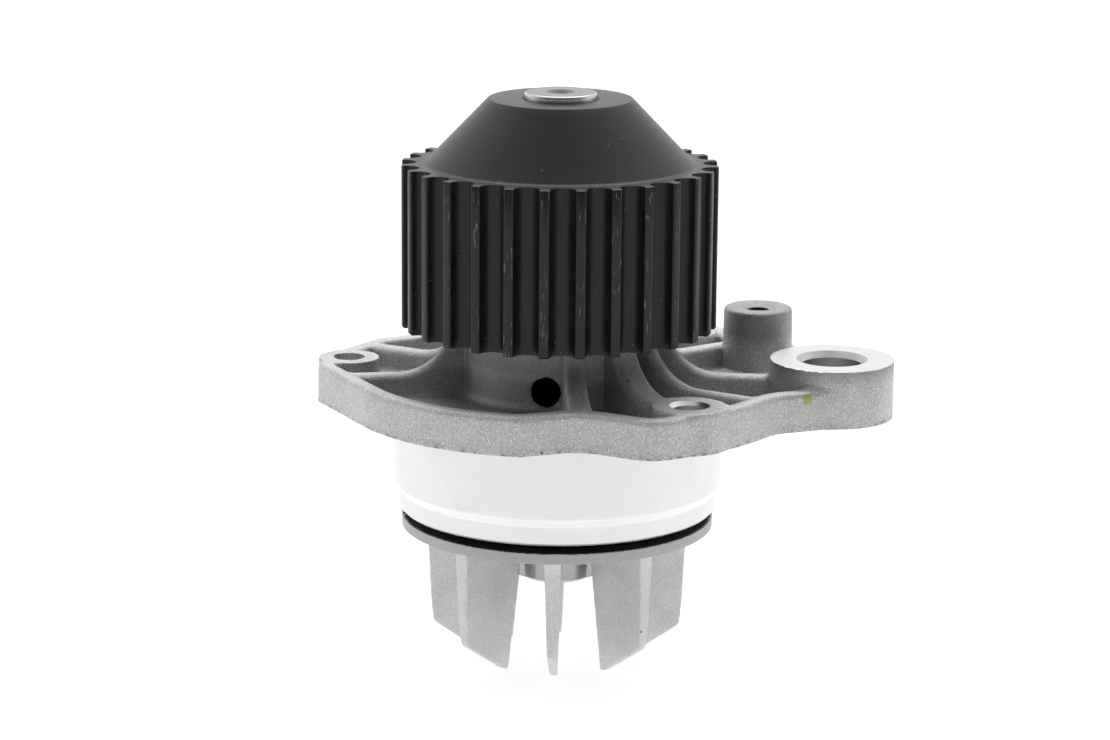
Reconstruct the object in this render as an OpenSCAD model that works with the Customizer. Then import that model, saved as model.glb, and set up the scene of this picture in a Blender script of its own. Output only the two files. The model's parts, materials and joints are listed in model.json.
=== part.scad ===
// Belt-driven engine coolant pump.
// A cast housing carries an integral ball-and-roller bearing. Its shaft joins a toothed
// belt pulley above the flange to a radial-vane impeller below the spigot, and a
// spring-loaded face seal keeps the coolant out of the bearing.
// Origin: centre of the spigot on the flange's mounting face. +Z runs up the shaft.

/* [Flange] */
// Height of the perimeter rim above the mounting face
rim_top = 8.6; // [7:0.1:10]
// Height of the pocket floor above the mounting face
floor_top = 3.6; // [2.5:0.1:5]
// Width of the perimeter rim
rim_w = 3.8; // [3:0.1:5]
// Radius of the concentric rim on the left and rear sides
rim_r = 46.7; // [45.5:0.1:47.5]
// Radius of the concentric lobe around the front bolt
lobe_r = 51.7; // [51:0.1:52.5]

/* [Bolt holes] */
// Diameter of the three mounting bolt holes
bolt_d = 7; // [6.4:0.1:7.4]
// Diameter of the lead-in chamfer of the front bolt hole
bolt_mouth_d = 8.6; // [7.8:0.1:9]

/* [Side bosses] */
// Outer diameter of the large side boss
boss_d = 27.3; // [26:0.1:29]
// Height of the large side boss above the mounting face
boss_top = 12.7; // [11:0.1:14]
// Diameter of the large side boss hole
boss_hole_d = 13.2; // [12:0.1:14]
// Diameter of the chamfer at the mouth of the large side boss hole
boss_mouth_d = 15.8; // [15:0.1:17]
// Height of the threaded standoff above the mounting face
standoff_top = 17.7; // [16:0.1:18]
// Tapping diameter of the standoff's thread
standoff_hole_d = 5; // [4.5:0.1:5.5]

/* [Hub and spigot] */
// Radius of the hub at the pocket floor's fillet
hub_r = 21; // [20:0.1:22]
// Radius of the bearing nose inside the pulley
nose_r = 19.8; // [19:0.1:20.5]
// Height of the bearing nose above the mounting face
nose_top = 52; // [51.8:0.1:53]
// Radius of the gusset ribs' concave top edge
gusset_arc_r = 12; // [11:0.5:13]
// Radius of the spigot's locating diameter
spigot_r = 36.5; // [36:0.1:37]
// Length of the spigot's locating diameter
spigot_land = 16.3; // [15:0.1:16.5]
// Total length of the spigot
spigot_len = 22.4; // [22:0.1:22.6]
// Diameter of the weep hole
weep_d = 6.4; // [6:0.1:7]

/* [Pulley] */
// Number of belt teeth
teeth = 28; // [28:1:28]
// Pitch of the belt
belt_pitch = 8; // [8:1:8]
// Distance from the pitch line to the tips of the teeth
pitch_line_gap = 0.69; // [0.6:0.01:0.8]
// Depth of the belt grooves
groove_depth = 3.47; // [3.3:0.01:3.6]
// Height of the pulley's lower face above the mounting face
pulley_bottom = 18.7; // [18.5:0.1:19.2]
// Height of the toothed face
tooth_len = 36.3; // [35:0.1:37]
// Height of the cone above the teeth
cone_h = 14.3; // [13.5:0.1:15]

/* [Bearing] */
// Diameter of the shaft
shaft_d = 15.918; // [15.918:0.001:15.918]
// Outer diameter of the bearing's outer ring
ring_d = 30; // [30:1:30]
// Length of the bearing's outer ring
ring_len = 38.9; // [38:0.1:39]
// Diameter of the balls
ball_d = 6.35; // [6.35:0.01:6.35]
// Number of balls
ball_count = 8; // [7:1:8]
// Diameter of the rollers
roller_d = 4.5; // [4.5:0.1:4.5]
// Length of the rollers
roller_len = 9.5; // [8:0.5:10]
// Number of rollers
roller_count = 11; // [9:1:11]

/* [Impeller] */
// Radius of the impeller's disc
disc_r = 34.8; // [34:0.1:35]
// Radius of the vane tips
vane_tip_r = 29.2; // [28:0.1:30]
// Number of vanes
vanes = 8; // [6:1:8]
// Thickness of a vane where it leaves the disc
vane_root_t = 3.9; // [3:0.1:4.2]
// Thickness of a vane at its lowest corner
vane_end_t = 1.6; // [1.2:0.1:2]

/* [Hidden] */

$fn = 96;

// How far a cutting shape runs past the face that it opens
over = 1;

// Places in plan of the bolt holes and the side bosses
ear_bolt = [-47.1, 9.0];
front_bolt = [28, -34.9];
rear_bolt = [28.8, 38.5];
side_boss = [60.4, -5.8];
standoff = [45.7, 24.6];

// Flange outline: corners with the radius that rounds each one
outline_corners = [
    [-53.9, 2.6, 4], polar_corner(rim_r, -153, -105), [-8.2, -45.3, 3], [4.7, -40.4, 10],
    [19.6, -48.6, 8], polar_corner(lobe_r, -62, -33), [47, -24.1, 10], [66, -16.4, 1], [72, 0.3, 1],
    [49.8, 32.4, 8], [42.2, 33.2, 4], [38.4, 49.6, 9.5], [17.5, 44.6, 8],
    polar_corner(rim_r, 80, 120), [-42.3, 29.1, 5], [-52.4, 13.2, 4]
];

// Gusset ribs: [azimuth, thickness]
ribs = [
    [188, 4.4], [-82, 5], [-53, 7], [-31.5, 4.2], [-5, 4.4],
    [36, 4.4], [53.5, 5], [92, 4.4], [151, 4.4]
];
rib_inner_r = 17;
rib_outer_r = 60;
gusset_r = 36;
gusset_foot = rim_top - 0.1;
gusset_top = gusset_foot + gusset_arc_r;

// Hub: its foot fillet, how deep that fillet sinks into the floor, and the taper to the nose
hub_fillet = 2;
fillet_sink = 0.3;
taper_bottom = 18;
taper_top = 20;
nose_chamfer = 1;
spigot_step = 1;
spigot_neck = 1.9;
spigot_end_chamfer = 0.5;

// Cast bosses round the holes, and the chamfers at their mouths
ear_boss_r = 6.8;
ear_boss_top = rim_top + 0.2;
bolt_boss_r = 8.2;
bolt_boss_top = rim_top + 0.3;
bolt_chamfer = 0.8;
boss_chamfer = 1.3;
standoff_foot_r = 8.1;
standoff_r = 7.75;
standoff_hole_bottom = 2.5;
standoff_mouth_d = 8.4;
standoff_chamfer = 0.7;

// Bearing and seal seats
shaft_r = shaft_d / 2;
shaft_top = pulley_bottom + tooth_len + cone_h + 1.4;
shaft_bottom = -39;
bearing_bottom = nose_top - 0.3 - ring_len;
bore_shoulder_r = 13;
weep_z = rim_top - 0.5;
weep_x = -2.7;
seal_seat_r = 18.22;
seal_seat_top = 2;
seal_face = -9;
cavity_r = 31;
ring_seat_gap = 0.2;

// Rolling elements
run_gap = 0.02;
ball_z = bearing_bottom + 8.6;
ball_pitch_r = 10.35;
roller_z = bearing_bottom + 28.6;
roller_pitch_r = shaft_r + run_gap + roller_d / 2;
track_r = roller_pitch_r + roller_d / 2 + run_gap;
cage_r = 9;
ball_cage_r = 11.7;
roller_cage_r = 11.5;
cage_rim = 1.3;
cage_gap = 0.15;
seal_set_in = 2.8;
seal_t = 1.6;
seal_lip = 2.5;
slinger_r = 11.4;
slinger_t = 1.4;
shaft_chamfer = 0.8;
shaft_top_chamfer = 0.5;

// Pulley radii
pitch_r = teeth * belt_pitch / (2 * PI);
tip_r = pitch_r - pitch_line_gap;
root_r = tip_r - groove_depth;
groove_r = 2.75;
tooth_top = pulley_bottom + tooth_len;
cone_top = tooth_top + cone_h;
cone_base_r = 29.6;
cone_top_r = 15.85;
cup_r = 27;
cup_roof = tooth_top - 5.5;
pulley_boss_r = 12.3;
pulley_boss_bottom = nose_top + 2.6;
cone_wall = 6;
cone_mouth = 0.7;
tooth_chamfer = 0.4;
tooth_top_chamfer = 0.3;
first_groove = -88.9;

// Impeller heights
disc_top = -24.3;
disc_bottom = -26.7;
bush_r = 10.5;
bush_top = -22.6;
bush_bottom = -37.7;
bush_chamfer = 0.5;
vane_overlap = 1;
vane_outer_end = -49.4;
vane_end = -58.2;
vane_eye_r = 12;
vane_end_r = 15.8;
first_vane = -91.8;

// Case of the face seal: flange, wall thickness and the rolled collar inside the bellows
case_flange = 2.2;
case_t = 0.8;
collar_r = 9.4;
collar_t = 0.7;
collar_bottom = -2;

// Bellows, its ferrule and the spring round them
bellows_r = collar_r + collar_t;
fold_r = 12.2;
spring_r = 14.9;
spring_wire_r = 0.7;
spring_turns = 3;
spring_low = -8.5;
spring_high = 0.5;
spring_steps = 24;
spring_sides = 8;

// Carbon ring in its drive ring, running on the mating ring
drive_r = 16.4;
drive_t = 0.7;
drive_top = -9.4;
drive_skirt = -13.4;
carbon_r = drive_r - drive_t;
carbon_back = -10.8;
carbon_body = -14.2;
carbon_face = -16.2;
carbon_bore_r = 9.6;
seal_gap = 0.03;
mating_r = 15.8;
mating_bottom = -20.2;
boot_r = 8.7;
boot_outer_r = 16.4;
boot_bottom = -21.8;
sleeve_r = 17;

// Corner whose rounding follows a circle about the axis from azimuth a to azimuth b
function polar_corner(r, a, b) =
    let (d = r / cos((b - a) / 2), m = (a + b) / 2) [d * cos(m), d * sin(m), r];

// Points of the arc that rounds corner q between its neighbours p and n
function corner_arc(p, q, n) =
    let (a = [p.x - q.x, p.y - q.y], b = [n.x - q.x, n.y - q.y],
         u = a / norm(a), v = b / norm(b),
         half = acos(u * v) / 2,
         centre = [q.x, q.y] + (u + v) / norm(u + v) * q[2] / sin(half),
         from = [q.x, q.y] + u * q[2] / tan(half) - centre,
         side = sign(u.x * v.y - u.y * v.x),
         sweep = -side * (180 - 2 * half),
         steps = max(2, ceil(abs(sweep) / 6)))
    [for (i = [0:steps]) let (t = sweep * i / steps)
        centre + [from.x * cos(t) - from.y * sin(t), from.x * sin(t) + from.y * cos(t)]];

function rounded(c) =
    [for (i = [0:len(c) - 1])
        for (p = corner_arc(c[(i + len(c) - 1) % len(c)], c[i], c[(i + 1) % len(c)])) p];

// Ring of square section between two radii and two heights
module ring(outer, inner, low, high) {
    difference() {
        translate([0, 0, low]) cylinder(r = outer, h = high - low);
        translate([0, 0, low - 1]) cylinder(r = inner, h = high - low + 2);
    }
}

module outline() {
    polygon(rounded(outline_corners));
}

module at(place, z = 0) {
    translate([place.x, place.y, z]) children();
}

// ---- Housing ----

module flange() {
    difference() {
        linear_extrude(rim_top) outline();
        translate([0, 0, floor_top]) linear_extrude(rim_top) offset(delta = -rim_w) outline();
    }
}

// Solid under the gussets' common concave profile
module gusset_body() {
    rotate_extrude() difference() {
        translate([rib_inner_r, 1]) square([rib_outer_r - rib_inner_r, gusset_top - 1]);
        translate([gusset_r, gusset_top]) circle(r = gusset_arc_r);
        translate([gusset_r, gusset_foot]) square([rib_outer_r, gusset_arc_r + over]);
    }
}

module gussets() {
    intersection() {
        gusset_body();
        linear_extrude(gusset_top + over) offset(delta = -rim_w / 2) outline();
        union() for (rib = ribs)
            rotate([0, 0, rib[0]]) translate([rib_inner_r, -rib[1] / 2, 0])
                cube([rib_outer_r - rib_inner_r, rib[1], gusset_top + over]);
    }
}

// Hub with a filleted foot, the bearing nose above it and the spigot below the flange
module hub_and_spigot() {
    rotate_extrude() difference() {
        polygon([
            [0, -spigot_len], [spigot_r - spigot_step - 0.6, -spigot_len],
            [spigot_r - spigot_step - 0.1, -spigot_len + spigot_end_chamfer],
            [spigot_r - spigot_step, -spigot_land - spigot_neck], [spigot_r, -spigot_land],
            [spigot_r, 1], [hub_r + hub_fillet, 1], [hub_r + hub_fillet, floor_top + hub_fillet],
            [hub_r, floor_top + hub_fillet], [hub_r, taper_bottom], [nose_r, taper_top],
            [nose_r, nose_top - nose_chamfer], [nose_r - nose_chamfer, nose_top], [0, nose_top]
        ]);
        translate([hub_r + hub_fillet, floor_top + hub_fillet - fillet_sink]) circle(r = hub_fillet);
    }
}

module bosses() {
    at(ear_bolt) cylinder(r = ear_boss_r, h = ear_boss_top);
    for (place = [front_bolt, rear_bolt]) at(place) cylinder(r = bolt_boss_r, h = bolt_boss_top);
    at(side_boss) cylinder(d = boss_d, h = boss_top);
    at(standoff) cylinder(r1 = standoff_foot_r, r2 = standoff_r, h = standoff_top);
}

// Bores on the shaft axis, from the bearing seat down to the coolant cavity
module axial_bores() {
    low = -spigot_len - over;
    translate([0, 0, bearing_bottom - ring_seat_gap]) cylinder(d = ring_d, h = ring_len + 5);
    translate([0, 0, low]) cylinder(r = bore_shoulder_r, h = bearing_bottom - low);
    translate([0, 0, seal_face - over]) cylinder(r = seal_seat_r, h = seal_seat_top - seal_face + over);
    translate([0, 0, low]) cylinder(r = cavity_r, h = seal_face - low);
}

// Upright hole from a height upwards
module hole(place, d, from = -over) {
    at(place, from) cylinder(d = d, h = standoff_top + over - from);
}

// Chamfer that widens the mouth of an upright hole and runs a little past its top face
module mouth(place, d, mouth_d, top, depth) {
    at(place, top - depth) cylinder(d1 = d, d2 = mouth_d + 0.1, h = depth + 0.05);
}

module flange_holes() {
    for (place = [ear_bolt, front_bolt, rear_bolt]) hole(place, bolt_d);
    mouth(front_bolt, bolt_d, bolt_mouth_d, bolt_boss_top, bolt_chamfer);
    hole(side_boss, boss_hole_d);
    mouth(side_boss, boss_hole_d, boss_mouth_d, boss_top, boss_chamfer);
    hole(standoff, standoff_hole_d, standoff_hole_bottom);
    mouth(standoff, standoff_hole_d, standoff_mouth_d, standoff_top, standoff_chamfer);
}

module weep_hole() {
    translate([weep_x, 0, weep_z]) rotate([90, 0, 0]) cylinder(d = weep_d, h = hub_r + 2 * hub_fillet);
}

module housing() {
    color("silver") difference() {
        union() {
            flange();
            hub_and_spigot();
            gussets();
            bosses();
        }
        axial_bores();
        flange_holes();
        weep_hole();
    }
}

// ---- Bearing ----

module torus(pitch, tube, z) {
    translate([0, 0, z]) rotate_extrude() translate([pitch, 0]) circle(r = tube);
}

module bearing_outer_ring() {
    color("lightsteelblue") difference() {
        ring(ring_d / 2, track_r, bearing_bottom, bearing_bottom + ring_len);
        torus(ball_pitch_r, ball_d / 2 + run_gap, ball_z);
    }
}

module ball_places() {
    for (i = [0:ball_count - 1])
        rotate([0, 0, i * 360 / ball_count]) translate([ball_pitch_r, 0, ball_z]) children();
}

module roller_places() {
    for (i = [0:roller_count - 1])
        rotate([0, 0, i * 360 / roller_count]) translate([roller_pitch_r, 0, roller_z]) children();
}

module bearing_balls() {
    color("gainsboro") ball_places() sphere(d = ball_d);
}

module ball_cage() {
    color("darkolivegreen") difference() {
        ring(ball_cage_r, cage_r, ball_z - 4.6, ball_z + 2.2);
        ball_places() sphere(r = ball_d / 2 + cage_gap);
    }
}

module bearing_rollers() {
    color("gainsboro") roller_places()
        translate([0, 0, -roller_len / 2]) cylinder(d = roller_d, h = roller_len);
}

module roller_cage() {
    half = roller_len / 2;
    color("darkolivegreen") difference() {
        ring(roller_cage_r, cage_r, roller_z - half - cage_rim, roller_z + half + cage_rim);
        roller_places() translate([0, 0, -half - cage_gap])
            cylinder(d = roller_d + 2 * cage_gap, h = roller_len + 2 * cage_gap);
    }
}

// Lip seal between the shaft and the outer ring, from z = 0 upwards, with its lip on top
module bearing_seal() {
    color("dimgray") rotate_extrude() polygon([
        [track_r, 0], [track_r, seal_t], [collar_r, seal_t], [shaft_r + run_gap, seal_lip],
        [shaft_r + run_gap, seal_lip - 0.6], [collar_r, 0]
    ]);
}

module bearing_seal_top() {
    translate([0, 0, bearing_bottom + ring_len - seal_set_in]) bearing_seal();
}

module bearing_seal_bottom() {
    translate([0, 0, bearing_bottom + seal_set_in]) mirror([0, 0, 1]) bearing_seal();
}

module drive_shaft() {
    color("lightgray") difference() {
        rotate_extrude() polygon([
            [0, shaft_bottom], [shaft_r - shaft_chamfer, shaft_bottom],
            [shaft_r, shaft_bottom + shaft_chamfer], [shaft_r, shaft_top - shaft_top_chamfer],
            [shaft_r - shaft_top_chamfer, shaft_top], [0, shaft_top]
        ]);
        torus(ball_pitch_r, ball_d / 2 + run_gap, ball_z);
    }
}

// ---- Pulley ----

module pulley_body() {
    rotate_extrude() polygon([
        [tip_r - tooth_chamfer, pulley_bottom], [tip_r, pulley_bottom + tooth_chamfer],
        [tip_r, tooth_top - tooth_top_chamfer], [tip_r - tooth_top_chamfer, tooth_top],
        [cone_base_r, tooth_top], [cone_top_r, cone_top], [shaft_r + cone_mouth, cone_top],
        [shaft_r, cone_top - cone_mouth], [shaft_r, pulley_boss_bottom],
        [pulley_boss_r, pulley_boss_bottom], [pulley_boss_r, cone_top - cone_wall],
        [cup_r, cup_roof], [cup_r, pulley_bottom]
    ]);
}

module toothed_pulley() {
    color("darkslategray") difference() {
        pulley_body();
        for (i = [0:teeth - 1]) rotate([0, 0, first_groove + i * 360 / teeth])
            translate([root_r + groove_r, 0, pulley_bottom - over])
                cylinder(r = groove_r, h = tooth_len + 2 * over);
    }
}

// ---- Face seal and slinger ----

module slinger() {
    color("dimgray") ring(slinger_r, shaft_r, bearing_bottom - 1 - slinger_t, bearing_bottom - 1);
}

module seal_case() {
    flange_r = seal_seat_r + case_flange;
    wall_r = seal_seat_r - case_t;
    color("goldenrod") rotate_extrude() polygon([
        [flange_r, seal_face], [seal_seat_r, seal_face], [seal_seat_r, seal_seat_top],
        [collar_r, seal_seat_top], [collar_r, collar_bottom],
        [bellows_r, collar_bottom], [bellows_r, seal_seat_top - case_t],
        [wall_r, seal_seat_top - case_t], [wall_r, seal_face - case_t], [flange_r, seal_face - case_t]
    ]);
}

// Rubber bellows: a flange under the case, a folded wall and a foot around the carbon ring
module seal_bellows() {
    top = seal_seat_top - case_t;
    wall = fold_r - 1;
    color("black") rotate_extrude() polygon([
        [bellows_r, top], [bellows_r, -2.6], [11, -4.6], [11, -6.6], [collar_r, -8.4],
        [collar_r, carbon_back], [fold_r, carbon_back], [fold_r, drive_top], [10.8, -8.6],
        [fold_r, -6.8], [fold_r, -4.2], [wall, -2.2], [wall, top - 1], [fold_r, top - 1], [fold_r, top]
    ]);
}

module bellows_ferrule() {
    wall = fold_r - 1;
    color("silver") ring(wall + 0.6, wall, collar_bottom + 0.2, seal_seat_top - case_t - 1);
}

// Point at angle a around the wire, t turns along the spring
function coil_point(t, a) =
    [(spring_r + spring_wire_r * cos(a)) * cos(360 * t),
     (spring_r + spring_wire_r * cos(a)) * sin(360 * t),
     spring_low + (spring_high - spring_low) * t / spring_turns + spring_wire_r * sin(a)];

module seal_spring() {
    rings = spring_turns * spring_steps;
    points = [for (i = [0:rings]) for (j = [0:spring_sides - 1])
        coil_point(i / spring_steps, -j * 360 / spring_sides)];
    walls = [for (i = [0:rings - 1]) for (j = [0:spring_sides - 1])
        let (k = (j + 1) % spring_sides)
        [i * spring_sides + j, i * spring_sides + k,
         (i + 1) * spring_sides + k, (i + 1) * spring_sides + j]];
    start = [for (j = [spring_sides - 1:-1:0]) j];
    finish = [for (j = [0:spring_sides - 1]) rings * spring_sides + j];
    color("gainsboro") polyhedron(points, concat([start], walls, [finish]), convexity = 8);
}

// Pressed ring that takes the spring's load and drives the carbon ring
module seal_drive_ring() {
    lip = fold_r + drive_t;
    color("silver") rotate_extrude() polygon([
        [fold_r, drive_top], [drive_r, drive_top], [drive_r, drive_skirt], [carbon_r, drive_skirt],
        [carbon_r, drive_top - drive_t], [lip, drive_top - drive_t], [lip, carbon_back],
        [fold_r, carbon_back]
    ]);
}

module carbon_ring() {
    lip = fold_r + drive_t;
    nose_inner = 11.2;
    nose_outer = 13.4;
    color("darkslategray") rotate_extrude() polygon([
        [carbon_bore_r, carbon_back], [lip, carbon_back], [lip, drive_top - drive_t],
        [carbon_r, drive_top - drive_t], [carbon_r, carbon_body + 0.4], [nose_outer, carbon_body],
        [nose_outer, carbon_face], [nose_inner, carbon_face], [nose_inner, carbon_body],
        [carbon_bore_r, carbon_body]
    ]);
}

module mating_ring() {
    color("slategray") ring(mating_r, collar_r, mating_bottom, carbon_face - seal_gap);
}

module mating_ring_boot() {
    color("black") rotate_extrude() polygon([
        [boot_r, -17], [collar_r, -17], [collar_r, mating_bottom], [mating_r, mating_bottom],
        [mating_r, -17.6], [boot_outer_r, -17.6], [boot_outer_r, boot_bottom], [boot_r, boot_bottom]
    ]);
}

module mating_ring_sleeve() {
    color("silver") rotate_extrude() polygon([
        [shaft_r, -16.6], [boot_r, -16.6], [boot_r, boot_bottom], [boot_outer_r, boot_bottom],
        [boot_outer_r, -18.4], [sleeve_r, -18.4], [sleeve_r, bush_top], [shaft_r, bush_top]
    ]);
}

// ---- Impeller ----

module impeller_bush() {
    color("lightgray") rotate_extrude() polygon([
        [shaft_r, bush_bottom], [bush_r - bush_chamfer, bush_bottom],
        [bush_r, bush_bottom + bush_chamfer],
        [bush_r, bush_top], [shaft_r, bush_top]
    ]);
}

// Space that the vanes fill as seen in a section through the axis
module vane_envelope() {
    foot = disc_bottom + vane_overlap;
    rotate_extrude() polygon([
        [vane_eye_r, foot], [vane_eye_r, disc_bottom], [vane_end_r - 0.5, vane_end + 1.4],
        [vane_end_r + 0.2, vane_end + 0.2], [vane_end_r + 1.2, vane_end + 0.4],
        [vane_tip_r - 2.4, vane_outer_end - 1.1], [vane_tip_r - 1.2, vane_outer_end + 1.2],
        [vane_tip_r, disc_bottom], [vane_tip_r, foot]
    ]);
}

// Radial slab that gets thinner away from the disc
module vane_slab() {
    foot = disc_bottom + vane_overlap;
    rotate([90, 0, 90]) linear_extrude(vane_tip_r + 2) polygon([
        [-vane_root_t / 2, foot], [vane_root_t / 2, foot],
        [vane_end_t / 2, vane_end - over], [-vane_end_t / 2, vane_end - over]
    ]);
}

module impeller() {
    color("darkgray") {
        ring(disc_r, bush_r, disc_bottom, disc_top);
        intersection() {
            vane_envelope();
            union() for (i = [0:vanes - 1]) rotate([0, 0, first_vane + i * 360 / vanes]) vane_slab();
        }
    }
}

housing();
bearing_outer_ring();
bearing_balls();
ball_cage();
bearing_rollers();
roller_cage();
bearing_seal_top();
bearing_seal_bottom();
drive_shaft();
toothed_pulley();
slinger();
seal_case();
seal_spring();
seal_bellows();
bellows_ferrule();
seal_drive_ring();
carbon_ring();
mating_ring();
mating_ring_boot();
mating_ring_sleeve();
impeller_bush();
impeller();
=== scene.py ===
"""Looks of a belt-driven engine coolant pump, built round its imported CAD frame.

The casting and the impeller are polygonised from distance functions, so that their cast fillets
are round and their machined edges stay sharp. The pulley, shaft and bush are swept outlines.
Lengths are in millimetres until a mesh is made, and in metres from there on.
"""

import json
import math

import bmesh
import bpy
import numpy as np
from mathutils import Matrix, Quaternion, Vector


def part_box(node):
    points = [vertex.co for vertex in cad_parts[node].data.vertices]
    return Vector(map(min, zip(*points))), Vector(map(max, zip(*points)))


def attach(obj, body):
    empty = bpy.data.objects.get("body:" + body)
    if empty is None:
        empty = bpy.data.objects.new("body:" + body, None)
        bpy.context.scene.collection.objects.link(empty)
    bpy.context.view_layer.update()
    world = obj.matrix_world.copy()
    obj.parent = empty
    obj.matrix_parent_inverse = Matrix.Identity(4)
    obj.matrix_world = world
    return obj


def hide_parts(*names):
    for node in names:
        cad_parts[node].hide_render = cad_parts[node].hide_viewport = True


MM = 0.001
DOWN, UP = 0, 1

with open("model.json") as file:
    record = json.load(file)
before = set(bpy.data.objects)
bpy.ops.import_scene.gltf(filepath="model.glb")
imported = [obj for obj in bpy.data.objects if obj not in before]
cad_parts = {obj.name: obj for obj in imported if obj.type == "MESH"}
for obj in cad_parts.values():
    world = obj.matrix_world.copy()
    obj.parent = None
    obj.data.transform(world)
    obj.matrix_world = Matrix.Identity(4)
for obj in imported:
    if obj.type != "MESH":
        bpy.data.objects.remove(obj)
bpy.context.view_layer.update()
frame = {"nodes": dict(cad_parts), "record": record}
mounts = {mount["name"]: mount for mount in frame["record"]["mounts"]}


def place(name):
    """Centre of a mount in plan, in mm."""
    return mounts[name]["pos_m"][0] / MM, mounts[name]["pos_m"][1] / MM


def radius(name):
    """Radius of a mount, in mm."""
    return mounts[name]["dims"]["r_mm"]


def height(node, end):
    """Height of a CAD node's lowest or highest point, in mm."""
    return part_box(node)[end].z / MM


def reach(node):
    """Radius of a CAD node about the shaft axis, in mm."""
    low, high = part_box(node)
    return (high.x - low.x) / 2 / MM


# ---- Camera, light and floor ----

IMAGE_WIDTH = 1110
FOCAL_PIXELS = 3368
SENSOR_WIDTH = 36
CAMERA_DISTANCE = 0.75
CAMERA_ELEVATION = math.radians(13.35)
CAMERA_ROLL = math.radians(0.48)
TARGET_HEIGHT = 0.0082
SIDE_OFFSET = 0.00073
FRONT_LIGHT = 0.07
BACK_LIGHT = 1.05
TOP_LIGHT = 0.25
FLOOR_GLOW = 0.85


def make_camera():
    """Camera low in front of the pump, looking along +Y and a little down."""
    camera = bpy.data.objects.new("camera", bpy.data.cameras.new("camera"))
    camera.data.sensor_width = SENSOR_WIDTH
    camera.data.lens = FOCAL_PIXELS / IMAGE_WIDTH * SENSOR_WIDTH
    camera.data.clip_end = 20
    back = Vector((0, -math.cos(CAMERA_ELEVATION), math.sin(CAMERA_ELEVATION)))
    camera.rotation_mode = "QUATERNION"
    camera.rotation_quaternion = (-back).to_track_quat("-Z", "Y") @ Quaternion((0, 0, 1), CAMERA_ROLL)
    camera.location = back * CAMERA_DISTANCE + Vector((-SIDE_OFFSET, 0, TARGET_HEIGHT))
    bpy.context.scene.collection.objects.link(camera)
    bpy.context.scene.camera = camera


def make_area_light(name, location, target, size, power):
    """Square soft box that faces a target."""
    light = bpy.data.objects.new(name, bpy.data.lights.new(name, "AREA"))
    light.data.size = size
    light.data.energy = power
    light.location = location
    light.rotation_mode = "QUATERNION"
    light.rotation_quaternion = (Vector(target) - Vector(location)).to_track_quat("-Z", "Y")
    bpy.context.scene.collection.objects.link(light)


def make_world():
    """White tent: bright above, at the sides and behind, dimmer towards the camera."""
    world = bpy.data.worlds.new("tent")
    bpy.context.scene.world = world
    world.use_nodes = True
    tree = world.node_tree
    tent = tree.nodes["Background"]

    def add(kind, **settings):
        made = tree.nodes.new(kind)
        for key, value in settings.items():
            setattr(made, key, value)
        return made

    direction = add("ShaderNodeSeparateXYZ")
    tree.links.new(add("ShaderNodeTexCoord").outputs["Generated"], direction.inputs[0])
    depth = add("ShaderNodeMapRange", interpolation_type="SMOOTHSTEP")
    tree.links.new(direction.outputs["Y"], depth.inputs["Value"])
    span = {"From Min": -0.6, "From Max": 0.5, "To Min": FRONT_LIGHT, "To Max": BACK_LIGHT}
    for key, value in span.items():
        depth.inputs[key].default_value = value
    rise = add("ShaderNodeMapRange", interpolation_type="SMOOTHSTEP")
    tree.links.new(direction.outputs["Z"], rise.inputs["Value"])
    span = {"From Min": 0.35, "From Max": 0.9, "To Min": 0.0, "To Max": TOP_LIGHT}
    for key, value in span.items():
        rise.inputs[key].default_value = value
    total = add("ShaderNodeMath", operation="ADD")
    tree.links.new(depth.outputs["Result"], total.inputs[0])
    tree.links.new(rise.outputs["Result"], total.inputs[1])
    tree.links.new(total.outputs[0], tent.inputs["Strength"])
    backdrop = add("ShaderNodeBackground")
    seen = add("ShaderNodeMixShader")
    tree.links.new(add("ShaderNodeLightPath").outputs["Is Camera Ray"], seen.inputs["Fac"])
    tree.links.new(tent.outputs[0], seen.inputs[1])
    tree.links.new(backdrop.outputs[0], seen.inputs[2])
    for background in (tent, backdrop):
        background.inputs["Color"].default_value = (1, 1, 1, 1)
    tree.links.new(seen.outputs[0], tree.nodes["World Output"].inputs["Surface"])


def make_studio():
    """Tent, a soft box and a pale floor."""
    bpy.context.scene.view_settings.view_transform = "Standard"
    make_world()
    centre = (0, 0, 0.01)
    make_area_light("top_box", (0.05, 0.35, 0.7), centre, 0.6, 2.0)
    bpy.ops.mesh.primitive_plane_add(size=12, location=(0, 0, height("impeller", DOWN) * MM))
    floor = bpy.context.object
    floor.name = "floor"
    paint = Material("floor_paper")
    paint.set("Base Color", (0.3, 0.3, 0.3, 1))
    paint.set("Roughness", 0.9)
    paint.set("Emission Color", (1, 1, 1, 1))
    paint.set("Emission Strength", FLOOR_GLOW)
    floor.data.materials.append(paint.data)


# ---- Materials ----


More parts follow.
